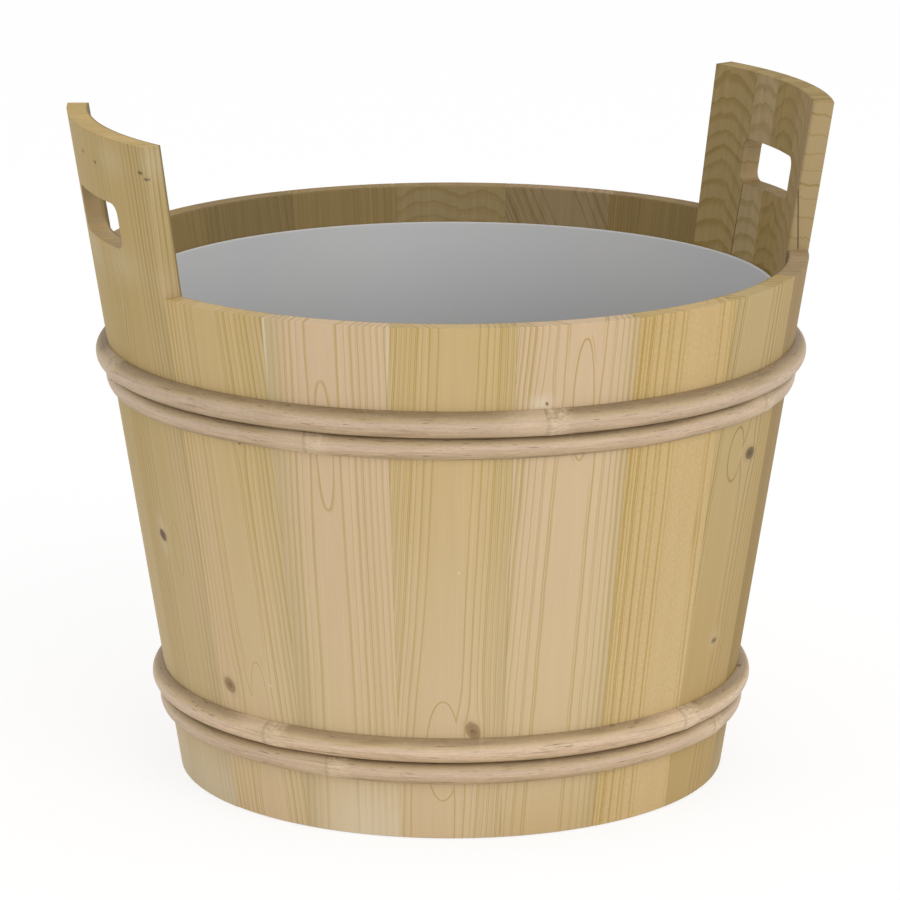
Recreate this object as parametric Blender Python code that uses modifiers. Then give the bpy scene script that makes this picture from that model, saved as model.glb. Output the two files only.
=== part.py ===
# Sauna bucket: a coopered wooden tub with two ears, cane hoops and a lift-out plastic liner.
# Metres, +Z up. The origin is on the floor, on the bucket's axis. The ears stand at -X and +X.

import math

import bmesh
import bpy
from mathutils import Vector

# Staves
RIM_RADIUS = 0.2000  # outside of the staves at the rim
BASE_RADIUS = 0.1544  # outside of the staves at the floor
RIM_HEIGHT = 0.2943
STAVE_THICKNESS = 0.0118  # measured level
STAVE_COUNT = 18
STAVE_GAP = 0.0003  # between neighbouring staves, at the foot

# Ears, each of two staves
EAR_RISE = 0.0838  # ear top above the rim
SLOT_WIDTH = 0.0684
SLOT_HEIGHT = 0.0252
SLOT_RISE = 0.0208  # slot floor above the rim
SLOT_CORNER = 0.0060

# Bottom, in a groove round the inside of the staves
CHIME_HEIGHT = 0.0140  # floor to the underside of the bottom
BOTTOM_THICKNESS = 0.0120
TONGUE_THICKNESS = 0.0070  # thinned edge of the bottom
GROOVE_DEPTH = 0.0042
GROOVE_CLEARANCE = 0.0003
PLANK_COUNT = 4
PLANK_GAP = 0.0003
DOWEL_RADIUS = 0.0030
DOWEL_LENGTH = 0.0300
DOWEL_SPACING = 0.1200
DOWEL_CLEARANCE = 0.0003

# Hoops, half-round cane in two touching pairs
UPPER_PAIR_HEIGHT = 0.2336  # where the two hoops of the pair meet, on the staves
LOWER_PAIR_HEIGHT = 0.0462
UPPER_FAT_WIDTH = 0.0146
UPPER_FAT_THICKNESS = 0.0072
UPPER_THIN_WIDTH = 0.0124
UPPER_THIN_THICKNESS = 0.0036
LOWER_FAT_WIDTH = 0.0138
LOWER_FAT_THICKNESS = 0.0072
LOWER_THIN_WIDTH = 0.0130
LOWER_THIN_THICKNESS = 0.0051
HOOP_CLEARANCE = 0.0003  # to the staves and to the other hoop of the pair
SCARF_LENGTH = 0.0240  # slanted joint between a hoop's two ends
SCARF_GAP = 0.0004

# Pins that hold the hoop ends
PIN_RADIUS = 0.0008
PIN_DEPTH = 0.0060  # into the stave
PIN_HEAD_RADIUS = 0.0017
PIN_HEAD_HEIGHT = 0.0009
PIN_POINT = 0.0016  # length of the pointed tip
PIN_CLEARANCE = 0.0003
PIN_SETBACK = 0.0060  # pin centre from the end of the slanted joint

# Liner
LINER_DROP = 0.0206  # its edge below the rim
LINER_WALL = 0.0022
LINER_CLEARANCE = 0.0012  # to the staves
LINER_SEAT = 0.0003  # to the bottom
LINER_CORNER = 0.0160  # outer radius where the wall meets the floor

# Facets
STAVE_FACETS = 4
HOOP_FACETS = 7
CORNER_FACETS = 4
HEAD_FACETS = 3
PIN_FACETS = 10
DOWEL_FACETS = 12

STAVE_ANGLE = 2 * math.pi / STAVE_COUNT
ROUND_STEPS = STAVE_COUNT * STAVE_FACETS
TAPER = (RIM_RADIUS - BASE_RADIUS) / RIM_HEIGHT
LEAN = math.atan(TAPER)
EAR_TOP = RIM_HEIGHT + EAR_RISE
BOTTOM_TOP = CHIME_HEIGHT + BOTTOM_THICKNESS
TONGUE_LOW = BOTTOM_TOP - TONGUE_THICKNESS
LINER_TOP = RIM_HEIGHT - LINER_DROP
LINER_LOW = BOTTOM_TOP + LINER_SEAT
CUTTER_REACH = STAVE_THICKNESS  # how far a cutter runs past what it cuts

# name, height of the pair, width, thickness, side of the pair (1 upper, -1 lower), stave its ends meet on
HOOPS = (
    ("hoop_upper_fat", UPPER_PAIR_HEIGHT, UPPER_FAT_WIDTH, UPPER_FAT_THICKNESS, 1, 3),
    ("hoop_upper_thin", UPPER_PAIR_HEIGHT, UPPER_THIN_WIDTH, UPPER_THIN_THICKNESS, -1, 5),
    ("hoop_lower_fat", LOWER_PAIR_HEIGHT, LOWER_FAT_WIDTH, LOWER_FAT_THICKNESS, 1, 5),
    ("hoop_lower_thin", LOWER_PAIR_HEIGHT, LOWER_THIN_WIDTH, LOWER_THIN_THICKNESS, -1, 3),
)

# name: base colour, roughness, metallic
FINISHES = {
    "yellow_spruce": ((0.56, 0.41, 0.20), 0.60, 0.0),
    "pink_spruce": ((0.63, 0.46, 0.29), 0.60, 0.0),
    "ear_spruce": ((0.50, 0.37, 0.19), 0.60, 0.0),
    "bottom_spruce": ((0.55, 0.41, 0.22), 0.65, 0.0),
    "cane": ((0.50, 0.36, 0.21), 0.45, 0.0),
    "beech": ((0.55, 0.36, 0.20), 0.60, 0.0),
    "grey_plastic": ((0.52, 0.52, 0.51), 0.40, 0.0),
    "steel": ((0.45, 0.44, 0.42), 0.35, 1.0),
}


def outer_radius(height):
    return BASE_RADIUS + TAPER * height


def inner_radius(height):
    return outer_radius(height) - STAVE_THICKNESS


def clear_scene():
    for old in list(bpy.data.objects):
        bpy.data.objects.remove(old, do_unlink=True)


def new_collection(name):
    collection = bpy.data.collections.new(name)
    bpy.context.scene.collection.children.link(collection)
    return collection


def new_material(name):
    colour, roughness, metallic = FINISHES[name]
    material = bpy.data.materials.new(name)
    material.use_nodes = True
    shader = material.node_tree.nodes["Principled BSDF"]
    shader.inputs["Base Color"].default_value = (*colour, 1)
    shader.inputs["Roughness"].default_value = roughness
    shader.inputs["Metallic"].default_value = metallic
    material.diffuse_color = (*colour, 1)
    return material


def mesh_from(shape, name):
    bmesh.ops.recalc_face_normals(shape, faces=shape.faces[:])
    mesh = bpy.data.meshes.new(name)
    shape.to_mesh(mesh)
    shape.free()
    mesh.shade_smooth()
    mesh.set_sharp_from_angle(angle=math.radians(30))
    return mesh


def add_part(name, mesh, finish, parent):
    part = bpy.data.objects.new(name, mesh)
    part.parent = parent
    parts.objects.link(part)
    if not mesh.materials:
        mesh.materials.append(None)
    part.material_slots[0].link = "OBJECT"
    part.material_slots[0].material = materials[finish]
    return part


def add_cutter(name, mesh):
    cutter = bpy.data.objects.new(name, mesh)
    cutter.hide_render = True
    cutter.display_type = "WIRE"
    cutters.objects.link(cutter)
    return cutter


def cut(part, cutter, operation="DIFFERENCE"):
    boolean = part.modifiers.new(cutter.name, "BOOLEAN")
    boolean.operation = operation
    boolean.solver = "EXACT"
    boolean.object = cutter


def arc(centre, radius, start, end, facets):
    """Points on a circular arc in the (radius, height) plane, both ends included."""
    angles = [start + (end - start) * step / facets for step in range(facets + 1)]
    return [(centre[0] + radius * math.cos(a), centre[1] + radius * math.sin(a)) for a in angles]


def spun_section(points, angle, steps, name):
    """Closed section, as vectors, turned about Z into a solid with two flat ends."""
    shape = bmesh.new()
    section = shape.faces.new([shape.verts.new(point) for point in points])
    bmesh.ops.spin(
        shape,
        geom=[section, *section.edges, *section.verts],
        axis=(0, 0, 1),
        cent=(0, 0, 0),
        angle=angle,
        steps=steps,
    )
    return mesh_from(shape, name)


def profile_mesh(name, points):
    """Open profile from axis to axis, as (radius, height) pairs, for a Screw modifier to turn."""
    mesh = bpy.data.meshes.new(name)
    corners = [(radius, 0, height) for radius, height in points]
    mesh.from_pydata(corners, [(i, i + 1) for i in range(len(corners) - 1)], [])
    return mesh


def turn_profile(part, steps, smooth):
    screw = part.modifiers.new("turn", "SCREW")
    screw.steps = steps
    screw.render_steps = steps
    screw.use_merge_vertices = True
    screw.merge_threshold = 0.00001
    screw.use_smooth_shade = smooth


def box_mesh(name, low, high):
    shape = bmesh.new()
    bmesh.ops.create_cube(shape, size=1)
    for vert in shape.verts:
        vert.co = [low[i] + (high[i] - low[i]) * (vert.co[i] + 0.5) for i in range(3)]
    return mesh_from(shape, name)


def rod_mesh(name, radius, low, high, facets):
    """Closed cylinder about Z."""
    shape = bmesh.new()
    bmesh.ops.create_cone(
        shape, cap_ends=True, segments=facets, radius1=radius, radius2=radius, depth=high - low
    )
    bmesh.ops.translate(shape, verts=shape.verts[:], vec=(0, 0, (low + high) / 2))
    return mesh_from(shape, name)


# Staves: one section for the plain ones and one for the ears, each turned through its share of the round.


def stave_mesh(name, top):
    groove_low = TONGUE_LOW - GROOVE_CLEARANCE
    groove_high = BOTTOM_TOP + GROOVE_CLEARANCE
    section = [
        (outer_radius(0), 0),
        (outer_radius(top), top),
        (inner_radius(top), top),
        (inner_radius(groove_high), groove_high),
        (inner_radius(groove_high) + GROOVE_DEPTH, groove_high),
        (inner_radius(groove_low) + GROOVE_DEPTH, groove_low),
        (inner_radius(groove_low), groove_low),
        (inner_radius(0), 0),
    ]
    half_gap = STAVE_GAP / inner_radius(0) / 2
    turn = Vector((math.cos(half_gap), math.sin(half_gap)))
    corners = [(radius * turn.x, radius * turn.y, height) for radius, height in section]
    return spun_section(corners, STAVE_ANGLE - 2 * half_gap, STAVE_FACETS, name)


def slot_cutter(name, side):
    """Rounded bar that cuts the hand slot of the ear on one side, -1 or 1."""
    reach = outer_radius(EAR_TOP) + CUTTER_REACH
    low = RIM_HEIGHT + SLOT_RISE
    shape = bmesh.new()
    bmesh.ops.create_cube(shape, size=1)
    bmesh.ops.scale(shape, verts=shape.verts[:], vec=(reach, SLOT_WIDTH, SLOT_HEIGHT))
    bmesh.ops.translate(
        shape, verts=shape.verts[:], vec=(side * reach / 2, 0, low + SLOT_HEIGHT / 2)
    )
    along = [edge for edge in shape.edges if abs(edge.verts[0].co.x - edge.verts[1].co.x) > reach / 2]
    bmesh.ops.bevel(
        shape,
        geom=along,
        offset=SLOT_CORNER,
        offset_type="OFFSET",
        segments=CORNER_FACETS,
        profile=0.5,
        affect="EDGES",
    )
    return add_cutter(name, mesh_from(shape, name))


def make_staves():
    """Staves by their number round the bucket, counted from +X towards +Y."""
    half = STAVE_COUNT // 2
    ears = {
        STAVE_COUNT - 1: ("ear_stave_right_front", 1),
        0: ("ear_stave_right_back", 1),
        half - 1: ("ear_stave_left_back", -1),
        half: ("ear_stave_left_front", -1),
    }
    slots = {side: slot_cutter(f"slot_cutter_{side}", side) for side in (-1, 1)}
    plain_mesh = stave_mesh("plain_stave", RIM_HEIGHT)
    ear_mesh = stave_mesh("ear_stave", EAR_TOP)
    staves = {}
    for number in range(STAVE_COUNT):
        if number in ears:
            name, side = ears[number]
            stave = add_part(name, ear_mesh, "ear_spruce", bucket)
        else:
            name = f"stave_back_{number}" if number < half else f"stave_front_{number - half}"
            finish = ("yellow_spruce", "pink_spruce")[number % 2]
            stave = add_part(name, plain_mesh, finish, bucket)
        stave.rotation_euler.z = number * STAVE_ANGLE
        if number in ears:
            cut(stave, slots[side])
        staves[number] = stave
    return staves


# Bottom: a turned disc with a thinned edge, sawn into planks that dowels hold side by side.


def plank_edges():
    """Y of the plank joints, with both outer limits."""
    reach = inner_radius(BOTTOM_TOP) + GROOVE_DEPTH
    return [reach * (2 * i / PLANK_COUNT - 1) for i in range(PLANK_COUNT + 1)]


def make_bottom():
    seat = GROOVE_DEPTH - GROOVE_CLEARANCE
    shoulder = inner_radius(CHIME_HEIGHT) - GROOVE_CLEARANCE
    profile = [
        (0, BOTTOM_TOP),
        (inner_radius(BOTTOM_TOP) + seat, BOTTOM_TOP),
        (inner_radius(TONGUE_LOW) + seat, TONGUE_LOW),
        (inner_radius(TONGUE_LOW) - GROOVE_CLEARANCE, TONGUE_LOW),
        (shoulder, CHIME_HEIGHT),
        (0, CHIME_HEIGHT),
    ]
    mesh = profile_mesh("bottom_disc", profile)
    edges = plank_edges()
    planks = []
    for i in range(PLANK_COUNT):
        plank = add_part(f"bottom_plank_{i + 1}", mesh, "bottom_spruce", bucket)
        turn_profile(plank, ROUND_STEPS, smooth=False)
        low = (edges[0] - CUTTER_REACH, edges[i] + PLANK_GAP / 2, 0)
        high = (edges[-1] + CUTTER_REACH, edges[i + 1] - PLANK_GAP / 2, BOTTOM_TOP + CHIME_HEIGHT)
        if i == 0:
            low = (low[0], edges[0] - CUTTER_REACH, low[2])
        if i == PLANK_COUNT - 1:
            high = (high[0], edges[-1] + CUTTER_REACH, high[2])
        name = f"plank_{i + 1}_limits"
        cut(plank, add_cutter(name, box_mesh(name, low, high)), "INTERSECT")
        planks.append(plank)
    return planks


def make_dowels(planks):
    half = DOWEL_LENGTH / 2
    dowel_mesh = rod_mesh("dowel", DOWEL_RADIUS, -half, half, DOWEL_FACETS)
    reach = half + DOWEL_CLEARANCE
    hole_mesh = rod_mesh("dowel_hole", DOWEL_RADIUS + DOWEL_CLEARANCE, -reach, reach, DOWEL_FACETS)
    height = CHIME_HEIGHT + BOTTOM_THICKNESS / 2
    for i, y in enumerate(plank_edges()[1:-1]):
        for side, x in (("left", -DOWEL_SPACING / 2), ("right", DOWEL_SPACING / 2)):
            dowel = add_part(f"bottom_dowel_{side}_{i + 1}", dowel_mesh, "beech", bucket)
            hole = add_cutter(f"dowel_hole_{side}_{i + 1}", hole_mesh)
            for piece in (dowel, hole):
                piece.location = (x, y, height)
                piece.rotation_euler.x = math.pi / 2
            cut(planks[i], hole)
            cut(planks[i + 1], hole)


# Hoops: a half-round section that leans with the staves, turned almost right round. The ends are slanted, so that
# they overlap in a scarf joint.


def hoop_height(pair_height, width, side):
    """Height on the staves of the middle of a hoop's flat back."""
    return pair_height + side * (width + HOOP_CLEARANCE) / 2 * math.cos(LEAN)


def hoop_mesh(name, height, width, thickness):
    wall = outer_radius(height)
    corners = []
    for step in range(HOOP_FACETS + 1):
        turn = math.pi * step / HOOP_FACETS
        along = width / 2 * math.cos(turn)
        out = thickness * math.sin(turn)
        proud = out + HOOP_CLEARANCE
        radius = wall + along * math.sin(LEAN) + proud * math.cos(LEAN)
        level = along * math.cos(LEAN) - proud * math.sin(LEAN)
        slant = SCARF_LENGTH * (out / thickness - 0.5) / wall
        corners.append((radius * math.cos(slant), radius * math.sin(slant), level))
    return spun_section(corners, 2 * math.pi - SCARF_GAP / wall, ROUND_STEPS, name)


def make_hoops(staves):
    for name, pair_height, width, thickness, side, meeting_stave in HOOPS:
        height = hoop_height(pair_height, width, side)
        hoop = add_part(name, hoop_mesh(name, height, width, thickness), "cane", bucket)
        hoop.location.z = height
        middle = (meeting_stave + 0.5) * STAVE_ANGLE
        hoop.rotation_euler.z = middle
        make_pins(name, hoop, staves, height, thickness, middle)


def make_pins(hoop_name, hoop, staves, height, thickness, middle):
    crown = thickness + HOOP_CLEARANCE
    seat = crown + PIN_CLEARANCE
    tip = -PIN_DEPTH
    turns = [math.pi / 2 * step / HEAD_FACETS for step in range(HEAD_FACETS + 1)]
    head = [(PIN_HEAD_RADIUS * math.sin(a), seat + PIN_HEAD_HEIGHT * math.cos(a)) for a in turns]
    profile = [*head, (PIN_RADIUS, seat), (PIN_RADIUS, tip + PIN_POINT), (0, tip)]
    mesh = profile_mesh("pin_" + hoop_name, profile)
    hole_radius = PIN_RADIUS + PIN_CLEARANCE
    hole_mesh = rod_mesh(
        "pin_hole_" + hoop_name, hole_radius, tip - PIN_CLEARANCE, seat + CUTTER_REACH, PIN_FACETS
    )
    wall = outer_radius(height)
    offset = (SCARF_LENGTH / 2 + PIN_SETBACK) / wall
    spread = hole_radius / wall
    for number, angle in enumerate((middle - offset, middle + offset), 1):
        label = f"{hoop_name.replace('hoop', 'pin')}_{number}"
        pin = add_part(label, mesh, "steel", bucket)
        turn_profile(pin, PIN_FACETS, smooth=True)
        hole = add_cutter(label + "_hole", hole_mesh)
        for piece in (pin, hole):
            piece.location = (wall * math.cos(angle), wall * math.sin(angle), height)
            piece.rotation_euler = (0, math.pi / 2 + LEAN, angle)
        cut(hoop, hole)
        for stave_number in {int((angle + side * spread) // STAVE_ANGLE) for side in (-1, 1)}:
            cut(staves[stave_number], hole)


# Liner: a thin-walled tub with a rounded foot, turned about the axis it lifts along.


def liner_radius(height):
    return inner_radius(height) - LINER_CLEARANCE


def make_liner():
    centre_height = LINER_LOW + LINER_CORNER
    centre = (liner_radius(centre_height) - LINER_CORNER / math.cos(LEAN), centre_height)
    inner_foot = arc(centre, LINER_CORNER - LINER_WALL, -math.pi / 2, -LEAN, CORNER_FACETS)
    outer_foot = arc(centre, LINER_CORNER, -LEAN, -math.pi / 2, CORNER_FACETS)
    edge = liner_radius(LINER_TOP)
    profile = [
        (0, LINER_LOW + LINER_WALL),
        *inner_foot,
        (edge - LINER_WALL / math.cos(LEAN), LINER_TOP),
        (edge, LINER_TOP),
        *outer_foot,
        (0, LINER_LOW),
    ]
    liner = add_part("liner", profile_mesh("liner", profile), "grey_plastic", lift)
    turn_profile(liner, ROUND_STEPS, smooth=True)


clear_scene()
parts = new_collection("sauna_bucket")
cutters = new_collection("cutters")
materials = {name: new_material(name) for name in FINISHES}
bucket = bpy.data.objects.new("bucket", None)
lift = bpy.data.objects.new("liner_lift", None)  # on the bucket's axis, along which the liner lifts
for empty in (bucket, lift):
    parts.objects.link(empty)
lift.parent = bucket
make_hoops(make_staves())
make_dowels(make_bottom())
make_liner()
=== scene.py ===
import math
import random

import bpy
import numpy as np
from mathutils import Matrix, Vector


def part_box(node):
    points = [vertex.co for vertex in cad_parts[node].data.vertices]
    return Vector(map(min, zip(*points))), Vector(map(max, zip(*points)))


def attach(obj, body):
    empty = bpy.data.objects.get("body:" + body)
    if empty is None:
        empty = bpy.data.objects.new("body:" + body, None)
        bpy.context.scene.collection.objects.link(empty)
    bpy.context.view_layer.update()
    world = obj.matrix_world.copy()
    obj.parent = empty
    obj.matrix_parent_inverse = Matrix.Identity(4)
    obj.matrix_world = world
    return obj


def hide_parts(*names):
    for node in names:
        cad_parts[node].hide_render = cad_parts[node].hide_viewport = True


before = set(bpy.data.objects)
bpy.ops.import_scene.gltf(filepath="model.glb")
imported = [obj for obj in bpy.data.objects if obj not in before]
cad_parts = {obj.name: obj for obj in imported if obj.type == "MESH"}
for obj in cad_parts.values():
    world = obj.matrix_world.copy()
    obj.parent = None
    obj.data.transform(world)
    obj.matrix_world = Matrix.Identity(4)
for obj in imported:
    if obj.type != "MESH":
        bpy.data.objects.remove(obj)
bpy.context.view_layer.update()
print("frame loaded:", len(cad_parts), "nodes")

# Sauna bucket looks: spruce staves, cane hoops, grey liner. Metres, +Z up, ears at -X and +X.

tiny = 1e-4
doubled = 1e-6  # points nearer than this are one point
scene = bpy.context.scene


# node wiring helpers, for shader and geometry trees alike

class Wire:
    def __init__(self, tree, socket):
        self.tree = tree
        self.socket = socket

    def math(self, operation, *others):
        made = self.tree.nodes.new("ShaderNodeMath")
        made.operation = operation
        for socket, value in zip(made.inputs, (self, *others)):
            plug(self.tree, value, socket)
        return wire(made)

    def __add__(self, other):
        return self.math("ADD", other)

    def __sub__(self, other):
        return self.math("SUBTRACT", other)

    def __rsub__(self, other):
        return self.math("MULTIPLY_ADD", -1.0, other)

    def __mul__(self, other):
        return self.math("MULTIPLY", other)

    def __truediv__(self, other):
        return self.math("DIVIDE", other)

    def root(self):
        return self.math("SQRT")

    def fade(self, low, high):  # 0 at low, 1 at high, smooth between
        limits = {0: self, 1: low, 2: high}
        return wire(addNode(self.tree, "ShaderNodeMapRange", limits, interpolation_type="SMOOTHSTEP"))

    def bell(self, width):  # 1 at zero, falling off over width
        ratio = self / width
        return (ratio * ratio * -1.0).math("EXPONENT")


def plug(tree, value, socket):  # link an output, or type in a number
    if isinstance(value, Wire):
        tree.links.new(value.socket, socket)
    elif value is not None:
        socket.default_value = value


def wire(node, output=0):
    return Wire(node.id_data, node.outputs[output])


def plugAll(tree, node, inputs):
    for key, value in inputs.items():
        plug(tree, value, node.inputs[key])


def addNode(tree, kind, inputs=None, **settings):
    made = tree.nodes.new(kind)
    for name, value in settings.items():
        setattr(made, name, value)
    plugAll(tree, made, inputs or {})
    return made


def joinXyz(tree, x, y, z):
    return wire(addNode(tree, "ShaderNodeCombineXYZ", {0: x, 1: y, 2: z}))


def splitXyz(vector):
    made = addNode(vector.tree, "ShaderNodeSeparateXYZ", {0: vector})
    return [wire(made, axis) for axis in range(3)]


def vectorMath(operation, first, second, output=0):
    made = addNode(first.tree, "ShaderNodeVectorMath", {0: first, 1: second}, operation=operation)
    return wire(made, output)


def noiseWire(tree, vector, scale, detail=2.0):
    return wire(addNode(tree, "ShaderNodeTexNoise", {"Vector": vector, "Scale": scale, "Detail": detail}))


def grainNoise(tree, u, v, w, seed, detail=1.0):  # about -1 to 1
    vector = joinXyz(tree, u, v, w + seed * 3.7)
    return noiseWire(tree, vector, 1.0, detail).math("MULTIPLY_ADD", 2.6, -1.3)


def bumpWire(tree, strength, distance, height):
    inputs = {"Strength": strength, "Distance": distance, "Height": height}
    return wire(addNode(tree, "ShaderNodeBump", inputs))


def mixColour(tree, share, first, second, blend="MIX"):
    inputs = {0: share, 6: first, 7: second}
    return wire(addNode(tree, "ShaderNodeMix", inputs, data_type="RGBA", blend_type=blend), 2)


def brighten(tree, face, light):
    return mixColour(tree, 1.0, face, joinXyz(tree, light, light, light), "MULTIPLY")


def colour(red, green, blue):  # screen values 0-255 to the linear ones Blender keeps
    def linear(value):
        value /= 255
        return value / 12.92 if value < 0.04045 else ((value + 0.055) / 1.055) ** 2.4
    return (linear(red), linear(green), linear(blue), 1.0)


def rampColour(tree, value, stops):  # stops: place from 0 to 1 and colour
    made = addNode(tree, "ShaderNodeValToRGB", {0: value})
    points = made.color_ramp.elements
    while len(points) < len(stops):
        points.new(0.5)
    for point, (spot, shade) in zip(points, stops):
        point.position = spot
        point.color = shade
    return wire(made)


def newMaterial(name):
    material = bpy.data.materials.new(name)
    material.use_nodes = True
    return material, material.node_tree, material.node_tree.nodes["Principled BSDF"]


def objectPlace(tree):
    return wire(tree.nodes.new("ShaderNodeTexCoord"), "Object")


def newGeometryTree(name, sizes):  # sizes: kind of input and its labels
    tree = bpy.data.node_groups.new(name, "GeometryNodeTree")
    tree.interface.new_socket("Geometry", in_out="OUTPUT", socket_type="NodeSocketGeometry")
    for kind, labels in {"Geometry": ["Geometry"], **sizes, "Material": ["Material"]}.items():
        for label in labels:
            tree.interface.new_socket(label, in_out="INPUT", socket_type="NodeSocket" + kind)
    source = tree.nodes.new("NodeGroupInput")
    return tree, {socket.name: Wire(tree, socket) for socket in source.outputs}


def geoWire(tree, kind, inputs=None, **settings):
    return wire(addNode(tree, "GeometryNode" + kind, inputs, **settings))


def endTree(tree, geometry, material):
    real = geoWire(tree, "RealizeInstances", {"Geometry": geometry})
    dressed = geoWire(tree, "SetMaterial", {"Geometry": real, "Material": material})
    addNode(tree, "NodeGroupOutput", {0: dressed})


def capture(tree, geometry, kind, value):
    made = tree.nodes.new("GeometryNodeCaptureAttribute")
    made.capture_items.new(kind, "kept")
    plug(tree, geometry, made.inputs[0])
    plug(tree, value, made.inputs[1])
    return wire(made, 0), wire(made, 1)


def movePoints(tree, geometry, place):
    return geoWire(tree, "SetPosition", {"Geometry": geometry, "Position": place})


# an outline run along a line: the mesh, each point's place on the outline and its share of the run
def sweep(tree, outline, steps):
    line = geoWire(tree, "CurvePrimitiveLine", {"End": (0, 1, 0)})
    path = geoWire(tree, "ResampleCurve", {"Curve": line, "Count": steps + 1}, mode="COUNT")
    path, share = capture(tree, path, "FLOAT", geoWire(tree, "SplineParameter"))
    outline, place = capture(tree, outline, "VECTOR", geoWire(tree, "InputPosition"))
    run = {"Curve": path, "Profile Curve": outline, "Fill Caps": True}
    return geoWire(tree, "CurveToMesh", run), place, share


def newMesh(name, points, edges=(), faces=()):
    mesh = bpy.data.meshes.new(name)
    mesh.from_pydata(points, edges, faces)
    return mesh


def outlineMesh(name, points):  # closed loop of (radius, height) pairs, drawn in the XZ plane
    count = len(points)
    return newMesh(name, [(r, 0, z) for r, z in points], [(i, (i + 1) % count) for i in range(count)])


def addObject(name, data):
    made = bpy.data.objects.new(name, data)
    scene.collection.objects.link(made)
    return made


def runTree(name, base, tree, values, bevel=None):
    piece = addObject(name, base)
    modifier = piece.modifiers.new(tree.name, "NODES")
    modifier.node_group = tree
    for item in tree.interface.items_tree:
        if item.in_out == "INPUT" and item.name in values:
            modifier[item.identifier] = values[item.name]
    if bevel:
        rounding = piece.modifiers.new("edges", "BEVEL")
        rounding.limit_method = "WEIGHT"
        rounding.width = bevel
        rounding.segments = 3
        rounding.harden_normals = True
    graph = bpy.context.evaluated_depsgraph_get()
    done = piece.evaluated_get(graph)
    mesh = bpy.data.meshes.new_from_object(done, preserve_all_data_layers=True, depsgraph=graph)
    piece.modifiers.clear()
    piece.data = mesh
    mesh.name = name
    return piece


def smoothMesh(mesh):
    mesh.shade_smooth()
    mesh.set_sharp_from_angle(angle=math.radians(40))


def placePiece(piece, body, slot, *nodes):
    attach(piece, body)
    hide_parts(*nodes)


# measures of the tub, read from the frame

def readVectors(items, label):  # columns x, y and z
    values = np.empty(len(items) * 3)
    items.foreach_get(label, values)
    return values.reshape(-1, 3).T


def nodePoints(name):
    x, y, z = readVectors(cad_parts[name].data.vertices, "co")
    return np.hypot(x, y), np.arctan2(y, x), z, y


def middleTurn(name):  # azimuth half way between a node's two sides
    _, turns, _, _ = nodePoints(name)
    rough = math.atan2(np.sin(turns).mean(), np.cos(turns).mean())
    spread = (turns - rough + math.pi) % (2 * math.pi) - math.pi
    return float(rough + (spread.min() + spread.max()) / 2)


def measureTub():
    r, _, z, _ = nodePoints("stave_front_4")
    tub = {"rimHeight": z.max(), "rimRadius": r.max(), "footRadius": r[z < tiny].max()}
    tub["wall"] = tub["rimRadius"] - r[z > z.max() - tiny].min()
    tub["taper"] = (tub["rimRadius"] - tub["footRadius"]) / tub["rimHeight"]
    tub["lean"] = math.atan(tub["taper"])
    depth = r - (tub["footRadius"] + tub["taper"] * z - tub["wall"])
    groove = (depth > 0.001) & (depth < tub["wall"] - 0.001)
    tub["grooveLow"], tub["grooveHigh"] = z[groove].min(), z[groove].max()
    tub["grooveDepth"] = depth[groove].max()
    r, _, z, y = nodePoints("ear_stave_left_front")
    tub["earTop"] = z.max()
    slot = (z > tub["rimHeight"] + 0.002) & (z < tub["earTop"] - 0.002)
    tub["slotLow"], tub["slotHigh"] = z[slot].min(), z[slot].max()
    tub["slotWidth"] = 2 * np.abs(y[slot]).max()
    return {key: float(value) for key, value in tub.items()}


tub = measureTub()
staveNames = [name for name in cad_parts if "stave" in name]
staveAngle = 2 * math.pi / len(staveNames)
print("tub measured:", {key: round(value, 4) for key, value in tub.items()})


def outerRadius(height):
    return tub["footRadius"] + tub["taper"] * height


# spruce: growth rings round a pith line, thin late wood lines, knots that push the rings aside

spruce = {
    "pith": 0.0,  # across the board, from its middle
    "lean": 0.0,  # drift of the pith across, per metre up the board
    "depth": 0.020,  # pith behind the face
    "pull": 0.15,  # how much the rings change through the thickness
    "slant": 0.0,  # sideways run of the rings through the thickness
    "ring": 0.0027,
    "plain": 0.018,  # width of the plain stretch over the pith
    "climb": 0.0,  # rings per metre along the board
    "wave": 0.0,  # unsteadiness of climbing rings, slow and fine
    "jag": 0.0,
    "figured": False,  # rings above on the inner face and the joints only, plain ones outside
    "wander": 0.0012,
    "ripple": 0.00045,
    "line": 0.0012,
    "lineStrength": 0.9,
    "uneven": 1.0,  # how much the lines differ among themselves
    "innerLines": 0.4,  # share of that on the inner face
    "early": 0.14,
    "speckle": 0.0,  # strength of fine light and dark dots
    "swells": (),  # across, height, half width, half length, rings
    "knots": (),  # across, height, radius, reach of the rings it pushes aside
    "knotWide": 1.0,
    "knotShade": 1.0,
    "strips": (),  # glued-up board: edge, sideways and upward jump of the rings, tint of the inner face
    "marks": (),  # across, height, half width, half length, share, tint
    "cracks": (),  # lower and upper end, each across, height and depth
    "sap": (0.0, 0.0),  # grey-green sapwood strip at the left and right edge
    "shade": 1.0,
    # painted shade: the inner face is tinted darker than the outer one, partly the wood's own tone and
    # partly shade painted into the tub
    "inside": (0.49, 0.47, 0.40),  # tint of the inner face, darker than the outer one
    "ends": None,  # tint of the end grain
    "sides": None,  # tint of the joint faces
    "tone": "yellow",
    "seed": 1,
}

# lighter towards the foot: partly the boards' own tone, partly painted light that makes up for the floor's
# shade at the foot
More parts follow.
